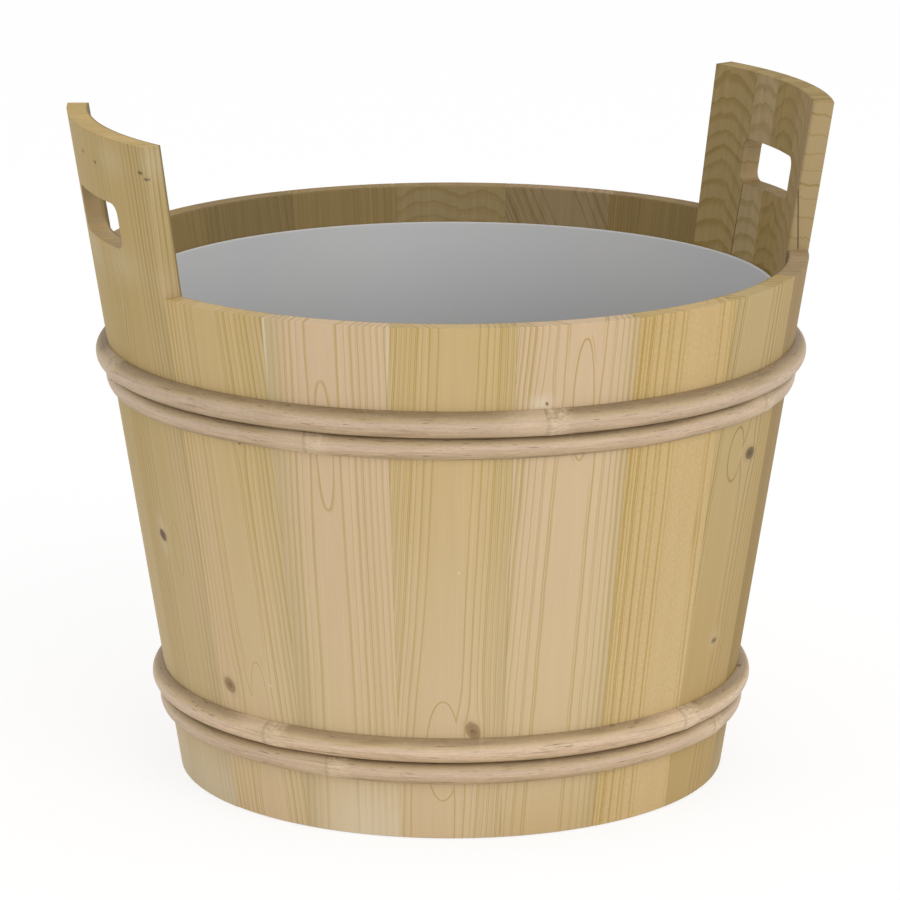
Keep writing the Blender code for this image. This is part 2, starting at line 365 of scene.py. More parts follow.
spruceTones = {  # face at the foot, at the rim, late wood line
    "yellow": (colour(213, 188, 149), colour(201, 174, 122), colour(178, 149, 80)),
    "pink": (colour(214, 189, 148), colour(213, 185, 150), colour(182, 156, 96)),
    "ochre": (colour(211, 183, 133), colour(204, 175, 122), colour(181, 151, 82)),
    "olive": (colour(192, 165, 113), colour(190, 166, 118), colour(160, 132, 72)),
    "dusk": (colour(186, 152, 76), colour(184, 153, 98), colour(150, 118, 56)),
    "ear": (colour(203, 179, 132), colour(189, 163, 107), colour(161, 135, 76)),
    "flame": (colour(203, 179, 132), colour(189, 163, 107), colour(156, 130, 56)),
}
markTints = {
    "pale": colour(228, 216, 192),
    "warm": colour(216, 187, 148),
    "honey": colour(182, 150, 84),
    "ochre": colour(170, 132, 56),
    "dark": colour(58, 46, 34),
}
sapTint = colour(190, 172, 130)
# pale early wood just past each late wood line: partly its own colour, partly a painted highlight beside the
# raised lines
earlyTint = colour(232, 212, 182)
slotShade = (0.845, 0.85, 1.06)
darkEndGrain = (0.57, 0.52, 0.42)
earEnds = (0.80, 0.77, 0.70)
paleEndGrain = (1.15, 1.11, 1.01)
# painted shade for the inner faces of the right ear, partly the wood's own tone
earInnerShade = (0.74, 0.705, 0.625)
earSides = (0.865, 0.885, 1.11)
knotColours = (colour(154, 129, 94), colour(104, 79, 52))
leastRing = 0.08  # keeps the plain stretch clear of the first line
slotEdge = 0.0335  # slot walls end here across the board, where the joint faces begin
woodNoises = {  # repeats per metre across, along and through the board, shift of the seed, detail
    "slow": (9.0, 4.5, 9.0, 0.0, 1.0),
    "fine": (80.0, 26.0, 80.0, 0.31, 2.0),
    "rough": (40.0, 24.0, 12.0, 0.62, 1.0),
    "jag": (190.0, 16.0, 260.0, 0.45, 2.0),
    "knot": (420.0, 420.0, 0.0, 0.7, 2.0),
    "patch": (26.0, 5.0, 26.0, 0.5, 2.0),
    "fading": (60.0, 9.0, 60.0, 0.8, 1.0),
    "fibre": (1500.0, 24.0, 1500.0, 0.0, 2.0),
    "streak": (260.0, 7.0, 260.0, 0.2, 2.0),
    "speckle": (900.0, 450.0, 900.0, 0.9, 1.0),
}


def woodNoise(kind, board, u, v, w):
    across, along, through, shift, detail = woodNoises[kind]
    return grainNoise(u.tree, u * across, v * along, w * through, board["seed"] + shift, detail)


def ringGroup(name, board):
    group = bpy.data.node_groups.new("rings_" + name, "ShaderNodeTree")
    group.interface.new_socket("Grain", in_out="INPUT", socket_type="NodeSocketVector")
    group.interface.new_socket("Rings", in_out="OUTPUT", socket_type="NodeSocketFloat")
    u, v, w = splitXyz(wire(group.nodes.new("NodeGroupInput")))
    slow = woodNoise("slow", board, u, v, w)
    fine = woodNoise("fine", board, u, v, w)
    across = u + slow * board["wander"] + fine * board["ripple"] - w * board["slant"]
    for knotU, knotV, _, reach in board["knots"]:  # rings flow round a knot
        side = across - knotU
        rise = (v - knotV) * 0.45
        near = side * side + rise * rise
        across = side * (near / (near + reach * reach)) + knotU
    for edge, shift, lift, _ in board["strips"]:
        beyond = u.math("GREATER_THAN", edge)
        across = across - beyond * shift
        v = v + beyond * lift
    side = across - (v - tub["rimHeight"]) * board["lean"] - board["pith"]
    behind = board["depth"] - w * board["pull"]
    rho = (side * side + behind * behind).root()
    first = math.hypot(board["plain"] / 2, board["depth"]) / board["ring"]  # a line edges the plain stretch
    rings = (rho / board["ring"] + (1 - first)).math("MAXIMUM", leastRing)
    if board["climb"]:
        rough = woodNoise("rough", board, u, v, w)
        jag = woodNoise("jag", board, u, v, w)
        rings = rings + v * board["climb"] + rough * board["wave"] + jag * board["jag"]
    for swellU, swellV, halfWidth, halfLength, height in board["swells"]:  # eyes and arches
        bulge = (u - swellU + slow * 0.002).bell(halfWidth) * (v - swellV).bell(halfLength)
        rings = (rings + bulge * height).math("MAXIMUM", leastRing)
    uneven = {"W": rings * 0.8 + board["seed"] * 7.1, "Detail": 0.0}
    uneven = wire(addNode(group, "ShaderNodeTexNoise", uneven, noise_dimensions="1D"))
    addNode(group, "NodeGroupOutput", {0: rings + uneven * 0.3 - 0.15})
    return group


# late and early wood, in lines of even width whichever way the rings meet the face
def ringLines(tree, board, group, grain, facing):
    step = 0.0002
    rings = wire(addNode(tree, "ShaderNodeGroup", {0: grain}, node_tree=group))
    slope = []
    for axis in range(3):
        offset = [step if axis == i else 0.0 for i in range(3)]
        moved = vectorMath("ADD", grain, offset)
        moved = wire(addNode(tree, "ShaderNodeGroup", {0: moved}, node_tree=group))
        slope.append((moved - rings) / step)
    normal = splitXyz(facing)
    steep = slope[0] * slope[0] + slope[1] * slope[1] + slope[2] * slope[2]
    straight = slope[0] * normal[0] + slope[1] * normal[1] + slope[2] * normal[2]
    steep = (steep - straight * straight).math("MAXIMUM", 1.0).root()
    part = rings.math("FRACT")
    toEnd = (1.0 - part) / steep
    fromStart = part / steep
    number = (rings + (0.0 if board["climb"] else 0.5)).math("FLOOR") + board["seed"] * 0.17
    chance = wire(addNode(tree, "ShaderNodeTexWhiteNoise", {"W": number}, noise_dimensions="1D"))
    chance = (chance - 1.0) * board["uneven"] + 1.0
    width = (chance * 0.5 + 0.75) * board["line"]
    late = toEnd.fade(width, width * 0.25).math("MAXIMUM", fromStart.fade(width * 0.45, 0.0))
    if board["climb"]:  # rings cut slantwise show as soft bands, narrow on the joint faces
        narrow = normal[0].math("ABSOLUTE").fade(0.6, 0.9) * 0.42
        late = part.fade(narrow + 0.40, 0.90) * part.fade(1.0, 0.94)
    early = fromStart.fade(0.0018, 0.0003) * (1.0 - late)
    return late * (chance * 0.35 + 0.65), early


def boardLines(tree, name, board, grain, facing):
    late, early = ringLines(tree, board, ringGroup(name, board), grain, facing)
    if board["figured"]:
        outer = {**spruce, "slant": 0.4, "seed": board["seed"]}
        outerLate, outerEarly = ringLines(tree, outer, ringGroup(name + "_outer", outer), grain, facing)
        share = splitXyz(facing)[2].fade(-0.5, -0.8)
        late = late + (outerLate - late) * share
        early = early + (outerEarly - early) * share
    return late, early


def knotMarks(tree, board, u, v, w, face):
    bark, core = [[part * board["knotShade"] for part in shade[:3]] + [1.0] for shade in knotColours]
    for knotU, knotV, radius, _ in board["knots"]:
        wobble = woodNoise("knot", board, u, v, w)
        rise = v - knotV
        side = (u - knotU + rise * 0.25) / board["knotWide"]
        rise = rise * 0.74
        away = (side * side + rise * rise).root() / radius + wobble * 0.12
        heart = mixColour(tree, away.fade(0.9, 0.1) * (wobble * 0.9 + 0.6), bark, core)
        face = mixColour(tree, away.fade(1.9, 0.8) * 0.25, face, bark)
        face = mixColour(tree, away.fade(1.08, 0.88) * 0.95, face, heart)
    return face


def shadeColour(tree, share, face, tint):
    return mixColour(tree, share, face, mixColour(tree, 1.0, face, (*tint, 1.0), "MULTIPLY"))


def slotShadeAndSides(tree, board, u, v, facing, face):  # painted shade: the walls of the hand slot are tinted darker and greyer
    soft = 0.001
    sideways, _, inward = splitXyz(facing)
    opened = v.fade(tub["slotLow"] - soft, tub["slotLow"])
    opened = opened * v.fade(tub["slotHigh"] + soft, tub["slotHigh"])
    opened = opened * inward.math("ABSOLUTE").fade(0.8, 0.4)
    opened = opened * u.math("ABSOLUTE").fade(slotEdge, slotEdge - soft)
    face = shadeColour(tree, opened, face, slotShade)
    if board["sides"]:
        sided = sideways.math("ABSOLUTE").fade(0.6, 0.9) * (1.0 - opened)
        face = shadeColour(tree, sided, face, board["sides"])
    return face


def crackMarks(tree, board, u, v, w, face):
    for (lowU, lowV, lowW), (highU, highV, highW) in board["cracks"]:
        run = (v - lowV) / (highV - lowV)
        side = u - (run * (highU - lowU) + lowU)
        deep = w - (run * (highW - lowW) + lowW)
        gape = (side * side + deep * deep).root().bell(0.0004)
        gape = gape * v.fade(lowV - 0.001, lowV + 0.002) * v.fade(highV + 0.001, highV - 0.002)
        face = mixColour(tree, gape * 0.85, face, markTints["dark"])
    return face


def spruceMaterial(name, board, grain, facing, material, tree, shader):
    u, v, w = splitXyz(grain)
    endward = splitXyz(facing)[1]
    lowTone, highTone, lateTone = spruceTones[board["tone"]]
    late, early = boardLines(tree, name, board, grain, facing)
    patch = woodNoise("patch", board, u, v, w)
    height = v.fade(0.03, tub["rimHeight"])
    face = mixColour(tree, (patch * 0.25 + height).math("MAXIMUM", 0.0), lowTone, highTone)
    for side, amount in zip((-1, 1), board["sap"]):
        if amount:
            edge = u * side - (v * tub["taper"] + tub["footRadius"]) * (staveAngle / 2)
            edge = edge.fade(-0.016, -0.001) * (patch * 0.5 + 0.7)
            face = mixColour(tree, edge * amount, face, sapTint)
    within = w.fade(tub["wall"] - 0.0016, tub["wall"] - 0.0004)
    fading = woodNoise("fading", board, u, v, w).math("MULTIPLY_ADD", 0.25, 0.85)
    ended = endward.fade(0.6, 0.9)
    strength = fading * (within * (board["innerLines"] - 1) + 1.0) * board["lineStrength"]
    strength = strength * (height * 0.3 + 0.8) * (ended * 0.4 + 1.0)
    # paler early wood past each line: partly its own colour, partly a painted highlight beside the raised
    # late wood
    face = mixColour(tree, early * board["early"], face, earlyTint)
    face = mixColour(tree, late * strength, face, lateTone)
    fibre = woodNoise("fibre", board, u, v, w)
    streak = woodNoise("streak", board, u, v, w)
    rough = (fibre * 0.030 + streak * 0.035) * (within * 2.5 + ended * 1.5 + 1.0)
    if board["speckle"]:
        rough = rough + woodNoise("speckle", board, u, v, w) * board["speckle"]
    face = brighten(tree, face, (rough + 1.0) * board["shade"])
    for markU, markV, halfWidth, halfLength, share, tint in board["marks"]:
        spot = (u - markU).bell(halfWidth) * (v - markV).bell(halfLength)
        if tint == "dark":
            spot = spot * w.fade(0.003, 0.001)
        face = mixColour(tree, spot * share, face, markTints[tint])
    face = knotMarks(tree, board, u, v, w, face)
    # the inner face is tinted darker: partly the wood's own tone, partly painted shade inside the tub
    face = shadeColour(tree, within, face, board["inside"])
    for edge, _, _, tint in board["strips"]:
        face = shadeColour(tree, u.math("GREATER_THAN", edge) * within, face, tint)
    if board["ends"]:
        face = shadeColour(tree, ended, face, board["ends"])
    if name.startswith("ear"):
        face = slotShadeAndSides(tree, board, u, v, facing, face)
    face = crackMarks(tree, board, u, v, w, face)
    relief = late * 0.5 + fibre * 0.35 + streak * 0.2
    plugAll(tree, shader, {
        "Base Color": face,
        "Roughness": fibre * 0.05 - late * 0.10 + 0.62,
        "Specular IOR Level": 0.17,
        "Normal": bumpWire(tree, 0.3, 0.0003, relief),
    })
    return material


def attributeWire(tree, name):
    return wire(addNode(tree, "ShaderNodeAttribute", attribute_name=name), "Vector")


def staveMaterial(name, board):
    material, tree, shader = newMaterial("spruce_" + name)
    grain = attributeWire(tree, "grain")
    facing = attributeWire(tree, "facing")
    return spruceMaterial(name, board, grain, facing, material, tree, shader)


# staves

stave = {  # a key with a capital is an input of the node tree, here and for hoops and pins
    "Steps": 14,
    "joint": 0.00003,  # gap between neighbours
    "edge": 0.0006,  # rounding of rim, foot, ear and slot edges
    "Arris": 0.15,  # share of that on the joints
    "Slot corner": 0.0060,
}

# what shows on each board, from its middle and the floor; boards not named here are drawn from the seed
wavy = {
    "ring": 0.014, "depth": 0.016, "pull": 0.12, "climb": 96.0, "wave": 0.6, "jag": 0.22, "wander": 0.007,
    "ripple": 0.0012, "lineStrength": 0.68, "innerLines": 1.0, "early": 0.0, "plain": 0.0, "figured": True,
}
boards = {
    "stave_front_1": {
        "tone": "yellow", "pith": -0.0045, "lean": -0.030, "ring": 0.0031, "depth": 0.010, "plain": 0.021,
        "swells": ((0.0028, 0.066, 0.0075, 0.036, 1.7),), "sap": (0.0, 0.5), "shade": 1.04, "seed": 11,
        "knots": ((-0.0198, 0.0749, 0.0033, 0.0050), (0.0104, 0.2209, 0.0008, 0.0030)), "knotWide": 1.35,
        "knotShade": 1.2, "lineStrength": 1.05,
        "marks": ((-0.022, 0.12, 0.012, 0.12, 0.45, "warm"), (0.0113, 0.0808, 0.0007, 0.0007, 0.8, "pale")),
    },
    "stave_front_2": {
        "tone": "pink", "pith": -0.0005, "lean": 0.018, "ring": 0.0034, "depth": 0.008, "plain": 0.019,
        "swells": ((-0.0017, 0.2255, 0.0059, 0.046, 1.7),), "sap": (1.0, 0.0), "lineStrength": 0.75,
        # the second pale mark, at the foot, is painted light that makes up for the floor's shade there
        "marks": ((-0.0336, 0.285, 0.0010, 0.030, 0.6, "pale"), (0.010, 0.0, 0.030, 0.030, 0.5, "pale")),
        "seed": 12,
    },
    "stave_front_3": {
        "tone": "yellow", "pith": 0.0049, "lean": 0.050, "ring": 0.0021, "depth": 0.025, "plain": 0.022,
        "swells": ((-0.0065, 0.052, 0.020, 0.050, -1.2), (-0.0045, 0.052, 0.0110, 0.036, 1.7)),
        "knots": ((0.0119, 0.0643, 0.0040, 0.0044),),
        "marks": (
            (-0.0336, 0.285, 0.0012, 0.035, 0.55, "pale"), (0.0042, 0.1566, 0.0006, 0.0006, 0.8, "pale"),
        ),
        "sap": (0.0, 0.4), "slant": -0.3, "knotShade": 1.2, "seed": 13,
    },
    "stave_front_4": {
        "tone": "pink", "pith": 0.0035, "lean": 0.028, "ring": 0.00185, "depth": 0.040, "plain": 0.023,
        "swells": ((0.0033, 0.252, 0.0058, 0.041, 1.7),), "knots": ((-0.0165, 0.2509, 0.0008, 0.0030),),
        "marks": ((-0.0195, 0.2505, 0.0070, 0.0050, 0.55, "pale"), (0.0, 0.0, 0.05, 0.03, 0.25, "honey")),
        "sap": (0.0, 0.5), "shade": 0.98, "seed": 14,
    },
    "stave_front_5": {
        "tone": "ochre", "pith": 0.0089, "lean": -0.0136, "ring": 0.0026, "depth": 0.060, "plain": 0.0304,
        "marks": ((0.0228, 0.165, 0.0013, 0.013, 0.5, "ochre"),),
        "line": 0.0021, "lineStrength": 1.0, "uneven": 0.2, "speckle": 0.09, "shade": 0.98, "seed": 15,
    },
    "stave_front_6": {
        "tone": "olive", "pith": -0.0115, "lean": 0.022, "ring": 0.0042, "depth": 0.012, "plain": 0.032,
        "swells": ((-0.0118, 0.2025, 0.0092, 0.0200, 1.6),), "line": 0.0016, "seed": 16,
        "knots": ((0.0064, 0.1993, 0.0027, 0.0060), (-0.0016, 0.0924, 0.0004, 0.0045)), "knotWide": 2.1,
        "knotShade": 0.6,
        "marks": (
            (0.026, 0.16, 0.010, 0.2, 0.4, "honey"), (0.0, 0.05, 0.05, 0.06, 0.25, "honey"),
            (-0.0016, 0.0930, 0.0060, 0.0050, 0.17, "pale"), (-0.0016, 0.0922, 0.0027, 0.0014, 0.85, "dark"),
        ),
    },
    "stave_front_7": {
        "tone": "dusk", "pith": 0.010, "shade": 0.74, "ends": (1.10, 1.18, 1.72), "seed": 17,
        # this pale mark at the foot is painted light that makes up for the floor's shade there
        "marks": ((0.0, 0.0, 0.05, 0.035, 0.26, "pale"),),
    },
    "stave_back_1": {
        "tone": "olive", "ring": 0.0016, "innerLines": 0.45, "inside": (0.53, 0.495, 0.395),
        "ends": darkEndGrain, "seed": 31,
    },
    "stave_back_2": {
        "tone": "pink", "lean": 0.5, "ring": 0.0055, "depth": 0.010, "wander": 0.005, "ripple": 0.0012,
        "line": 0.0026, "innerLines": 1.0, "early": 0.0, "figured": True, "inside": (0.465, 0.458, 0.38),
        "ends": darkEndGrain, "seed": 32,
    },
    "stave_back_3": {
        **wavy, "tone": "yellow", "pith": -0.0194, "climb": 110.0, "lineStrength": 0.7,
        "inside": (0.56, 0.565, 0.565),
        "strips": ((-0.0058, 0.033, 0.005, (1.0, 1.0, 1.0)),), "ends": darkEndGrain, "seed": 33,
    },
    "ear_stave_left_front": {
        "tone": "ear", "pith": 0.004, "ring": 0.0030, "depth": 0.012, "plain": 0.023, "line": 0.0010,
        "swells": ((0.007, 0.147, 0.005, 0.022, 1.5), (-0.010, 0.290, 0.007, 0.020, 1.4)), "ripple": 0.0007,
        "knots": ((-0.0097, 0.1511, 0.0024, 0.0042),), "knotWide": 1.7, "knotShade": 0.62,
        "marks": (
            (0.0355, 0.369, 0.0026, 0.009, 0.15, "pale"), (-0.030, 0.18, 0.014, 0.20, 0.45, "honey"),
            # the pale mark at height 0 is painted light that makes up for the floor's shade at the foot
            (0.022, 0.16, 0.010, 0.10, 0.40, "warm"), (0.0, 0.0, 0.08, 0.035, 0.45, "pale"),
            (-0.0064, 0.3070, 0.022, 0.011, 0.16, "pale"), (0.0007, 0.3658, 0.014, 0.009, 0.16, "pale"),
            (0.0345, 0.3000, 0.0050, 0.012, 0.30, "warm"), (-0.0097, 0.1511, 0.0060, 0.010, 0.30, "pale"),
            (-0.0217, 0.3608, 0.0016, 0.0008, 0.9, "dark"), (0.0313, 0.3635, 0.0019, 0.0009, 0.9, "dark"),
            (0.0356, 0.3605, 0.0013, 0.0008, 0.9, "dark"),
        ),
        "lineStrength": 0.75, "slant": 0.7, "sap": (0.0, 0.35), "sides": (0.965, 0.985, 1.04),
        "ends": paleEndGrain, "seed": 18,
    },
    "ear_stave_left_back": {
        "tone": "ear", "pith": 0.004, "ring": 0.0036, "lineStrength": 0.7, "ends": paleEndGrain, "slant": 0.7,
        "marks": (
            (0.0313, 0.3633, 0.0018, 0.0008, 0.85, "dark"), (0.0176, 0.3070, 0.022, 0.011, 0.16, "pale"),
            # the pale mark at height 0 is painted light that makes up for the floor's shade at the foot
            (0.0, 0.0, 0.08, 0.035, 0.45, "pale"),
        ),
        "seed": 19,
    },
    "ear_stave_right_front": {
        **wavy, "tone": "flame", "pith": 0.0067, "inside": (0.795, 0.76, 0.79), "ends": earEnds,
        "strips": ((0.0035, 0.012, 0.004, (0.925, 0.92, 0.775)),), "sides": earSides, "seed": 20,
        "cracks": (((-0.0339, 0.2943, 0.0059), (-0.0338, 0.3298, 0.0118)),),
    },
    "ear_stave_right_back": {
        **wavy, "tone": "flame", "pith": -0.050, "inside": earInnerShade, "ends": earEnds, "seed": 21,
        "strips": (
            (-0.0297, 0.033, 0.004, (1.13, 1.20, 1.65)),
            (-0.0044, 0.034, -0.003, (0.88, 0.86, 0.73)),
        ),
        "cracks": (((-0.0029, 0.2700, 0.0118), (-0.0052, 0.3150, 0.0118)),),
    },
}


def drawnBoard(number, seed):  # a board that the named ones leave open
    draw = random.Random(seed)
    eye = (draw.uniform(-0.006, 0.006), draw.uniform(0.06, 0.26), 0.007, draw.uniform(0.02, 0.05), 1.7)
    radius = draw.uniform(0.0015, 0.0035)
    knot = (draw.uniform(-0.02, 0.02), draw.uniform(0.09, 0.20), radius, radius * 1.5)
    return {
        "tone": draw.choice((("yellow", "ochre"), ("pink", "olive"))[number % 2]),
        "pith": draw.uniform(-0.010, 0.010),
        "lean": draw.uniform(-0.03, 0.05),
        "ring": draw.uniform(0.0020, 0.0034),
        "depth": draw.uniform(0.010, 0.040),
        "plain": draw.uniform(0.016, 0.024),
        "slant": draw.uniform(-0.8, 0.8),
        "swells": (eye,),
        "knots": (knot,),
        "ends": darkEndGrain,
        "seed": seed,
    }


def buildStaveTree():
    numbers = ["Start", "Turn", "Top", "Arris"]
    numbers += ["Slot width", "Slot low", "Slot high", "Slot corner", "Slot reach"]
    tree, size = newGeometryTree("coopered_stave", {"Float": numbers, "Int": ["Steps"]})
    outline = geoWire(tree, "MeshToCurve", {"Mesh": size["Geometry"]})
    body, place, share = sweep(tree, outline, size["Steps"])
    r, _, z = splitXyz(place)
    angle = share * size["Turn"] + size["Start"]
    bent = joinXyz(tree, r * angle.math("COSINE"), r * angle.math("SINE"), z)
    body = movePoints(tree, body, bent)
    opening = {"Width": size["Slot width"], "Height": size["Slot high"] - size["Slot low"]}
    opening = geoWire(tree, "CurvePrimitiveQuadrilateral", opening)
    fillet = {"Curve": opening, "Count": 8, "Radius": size["Slot corner"]}
    opening = geoWire(tree, "FilletCurve", fillet, mode="POLY")
    bar, place, share = sweep(tree, opening, 1)
    across, up, _ = splitXyz(place)
    middle = (size["Slot low"] + size["Slot high"]) * 0.5
    spot = joinXyz(tree, (share * 2.0 - 1.0) * size["Slot reach"], across, up + middle)
    solids = {0: body, 1: movePoints(tree, bar, spot)}
    cut = addNode(tree, "GeometryNodeMeshBoolean", solids, operation="DIFFERENCE", solver="EXACT")
    ends = tree.nodes.new("GeometryNodeInputMeshEdgeVertices")
    firstZ = splitXyz(wire(ends, "Position 1"))[2]
    secondZ = splitXyz(wire(ends, "Position 2"))[2]
    atTop = firstZ.math("MINIMUM", secondZ).math("GREATER_THAN", size["Top"] - tiny)
    atFoot = firstZ.math("MAXIMUM", secondZ).math("LESS_THAN", tiny)
    sharp = geoWire(tree, "InputMeshEdgeAngle").math("GREATER_THAN", math.radians(30))
    full = atTop.math("MAXIMUM", atFoot).math("MAXIMUM", wire(cut, "Intersecting Edges"))
    weight = full.math("MAXIMUM", size["Arris"]) * sharp
    marked = {"Geometry": wire(cut), "Name": "bevel_weight_edge", "Value": weight}
    marked = geoWire(tree, "StoreNamedAttribute", marked, data_type="FLOAT", domain="EDGE")
    smooth = geoWire(tree, "SetShadeSmooth", {"Geometry": marked})
    endTree(tree, smooth, size["Material"])
    return tree


def staveOutline(top):
    inner = [(outerRadius(z) - tub["wall"], z) for z in (top, tub["grooveHigh"], tub["grooveLow"], 0)]
    deep = [(r + tub["grooveDepth"], z) for r, z in inner[1:3]]
    return [(outerRadius(0), 0), (outerRadius(top), top), *inner[:2], *deep, *inner[2:]]


def storeVectors(mesh, name, domain, *columns):
    made = mesh.attributes.new(name, "FLOAT_VECTOR", domain)
    made.data.foreach_set("vector", np.stack(columns, 1).astype(np.float32).ravel())


# board coordinates across, up and into the wood, and how each face stands to them
def markGrain(mesh, middle):
    x, y, z = readVectors(mesh.vertices, "co")
    r = np.hypot(x, y)
    turn = np.arctan2(y, x) - middle
    turn = (turn + math.pi) % (2 * math.pi) - math.pi
    storeVectors(mesh, "grain", "POINT", r * turn, z, outerRadius(z) - r)
    nx, ny, nz = readVectors(mesh.polygons, "normal")
    cx, cy, _ = readVectors(mesh.polygons, "center")
    reach = np.hypot(cx, cy)
    outward = (nx * cx + ny * cy) / reach
    sideways = (ny * cx - nx * cy) / reach
    lean = tub["lean"]
    along = outward * math.sin(lean) + nz * math.cos(lean)
    inward = nz * math.sin(lean) - outward * math.cos(lean)
    storeVectors(mesh, "facing", "FACE", sideways, along, inward)


def buildStaves():
    tree = buildStaveTree()
    for name in sorted(staveNames):
        middle = middleTurn(name)
        number = round(middle / staveAngle - 0.5) % len(staveNames)
        isEar = name.startswith("ear")
        top = tub["earTop"] if isEar else tub["rimHeight"]
        board = {**spruce, **boards.get(name, drawnBoard(number, 40 + number))}
        gap = stave["joint"] / tub["footRadius"]
        values = {
            **stave,
            "Start": middle - staveAngle / 2 + gap / 2,
            "Turn": staveAngle - gap,
            "Top": top,
            "Slot width": tub["slotWidth"],
            "Slot low": tub["slotLow"],
            "Slot high": tub["slotHigh"],
            "Slot reach": outerRadius(tub["earTop"]) + tub["wall"],
            "Material": staveMaterial(name, board),
        }
        piece = runTree(name + "_wood", outlineMesh(name, staveOutline(top)), tree, values, stave["edge"])
        markGrain(piece.data, middle)
        slot = "ear_spruce" if isEar else ("yellow_spruce", "pink_spruce")[number % 2]
        placePiece(piece, "bucket", slot, name)


buildStaves()
print("staves built:", len(staveNames))


# cane hoops: a half-round strip bent round the tub, its ends meeting in a slanted joint at the back

hoop = {
    "sides": 28,
    "crown": 1.02,  # the frame's flats cut the crown a little low
    "scarfGap": 0.0003,
    "Steps": 400,
    "Scarf": 0.024,
    "Knuckle turn": math.radians(86),
    "Swell": 0.0010,
    "Ridge": 0.0003,
    "Uneven": 0.0003,
}
# the lightness is partly each hoop's own tone; for the lower hoops it is also painted light that makes up
# for the floor's shade
hoopLooks = {  # azimuth of one knuckle in degrees, and how light the cane is
    "hoop_upper_fat": (264.5, 0.98),
    "hoop_upper_thin": (226, 1.03),
    "hoop_lower_fat": (212.6, 1.18),
    "hoop_lower_thin": (225.5, 1.07),
}
caneTones = {
    "sheath": colour(208, 183, 152),
    "cream": colour(214, 192, 160),
    "honey": colour(215, 207, 186),
    "ring": colour(214, 196, 168),
    "dash": colour(98, 76, 50),
    # the cane's own colours across the strip, with painted shade darkening both edges where it meets the
    # staves and the other hoop
    "bands": (  # from the lower edge to the upper one
        (0.02, colour(144, 121, 94)),
        (0.14, colour(181, 157, 123)),
        (0.30, colour(191, 165, 133)),
        (0.44, colour(200, 173, 145)),
        (0.58, colour(203, 178, 152)),
        (0.70, colour(198, 174, 144)),
        (0.82, colour(181, 156, 119)),
        (0.96, colour(147, 126, 96)),
    ),
}

caneNoises = {  # repeats along a metre and across half the strip, shift of the seed, detail
    "drift": (14.0, 0.8, 0.0, 2.0),
    "streak": (36.0, 6.0, 0.3, 3.0),
    "fibre": (140.0, 26.0, 0.6, 2.0),
    "mottle": (420.0, 7.0, 0.4, 2.0),
    "dashes": (95.0, 10.0, 0.9, 2.0),
    "vein": (22.0, 4.0, 0.7, 3.0),
}


def leaningFrame(r, z):  # distances up the slope of the wall and out from it
    side = r - tub["footRadius"]
    lean = tub["lean"]
    return side * math.sin(lean) + z * math.cos(lean), side * math.cos(lean) - z * math.sin(lean)


def fromLeaning(along, proud):
    lean = tub["lean"]
    radius = tub["footRadius"] + along * math.sin(lean) + proud * math.cos(lean)
    return radius, along * math.cos(lean) - proud * math.sin(lean)


def caneMaterial(name, seed, shade):
    material, tree, shader = newMaterial("cane_" + name)
    s, across, knuckle = splitXyz(attributeWire(tree, "cane"))

    def noise(kind):
        along, wide, shift, detail = caneNoises[kind]
        return grainNoise(tree, s * along, across * wide, s * 0.0, seed + shift, detail)

    drift = noise("drift")
    streak = noise("streak")
    fibre = noise("fibre")
    mottle = noise("mottle")
    lane = across * 0.5 + drift * 0.10 + streak * 0.09 + fibre * 0.05 + 0.5
    face = rampColour(tree, lane, caneTones["bands"])
    sheath = knuckle.fade(-0.032, -0.006) * knuckle.fade(0.0004, -0.0002)
    face = mixColour(tree, sheath * 0.6, face, caneTones["sheath"])
    # the swelling past the knuckle: mottled cream, partly the node's own colour and partly a painted
    # highlight on the bump
    lump = knuckle.fade(0.0, 0.0015) * knuckle.fade(0.018, 0.008)
    face = mixColour(tree, lump * (mottle * 0.5 + 0.5), face, caneTones["cream"])
    face = mixColour(tree, knuckle.bell(0.0004) * 0.25, face, caneTones["ring"])
    # painted shadow: a dark line just past the knuckle step
    face = mixColour(tree, (knuckle - 0.0014).bell(0.0012) * 0.3, face, caneTones["bands"][0][1])
    dashes = noise("dashes").fade(0.36, 0.62) * (1.0 - sheath)
    face = mixColour(tree, dashes * 0.7, face, caneTones["dash"])
    face = mixColour(tree, noise("vein").fade(0.1, 0.6) * 0.6, face, caneTones["honey"], "MULTIPLY")
    relief = fibre * 0.4 + streak * 0.4 + mottle * 0.2 - dashes * 0.8
    plugAll(tree, shader, {
        "Base Color": brighten(tree, face, (streak * 0.17 + fibre * 0.18 + mottle * 0.10 + 1.03) * shade),
        "Roughness": fibre * 0.06 + dashes * 0.15 + 0.50,
        "Specular IOR Level": 0.35,
        "Normal": bumpWire(tree, 0.4, 0.0004, relief),
    })
    return material


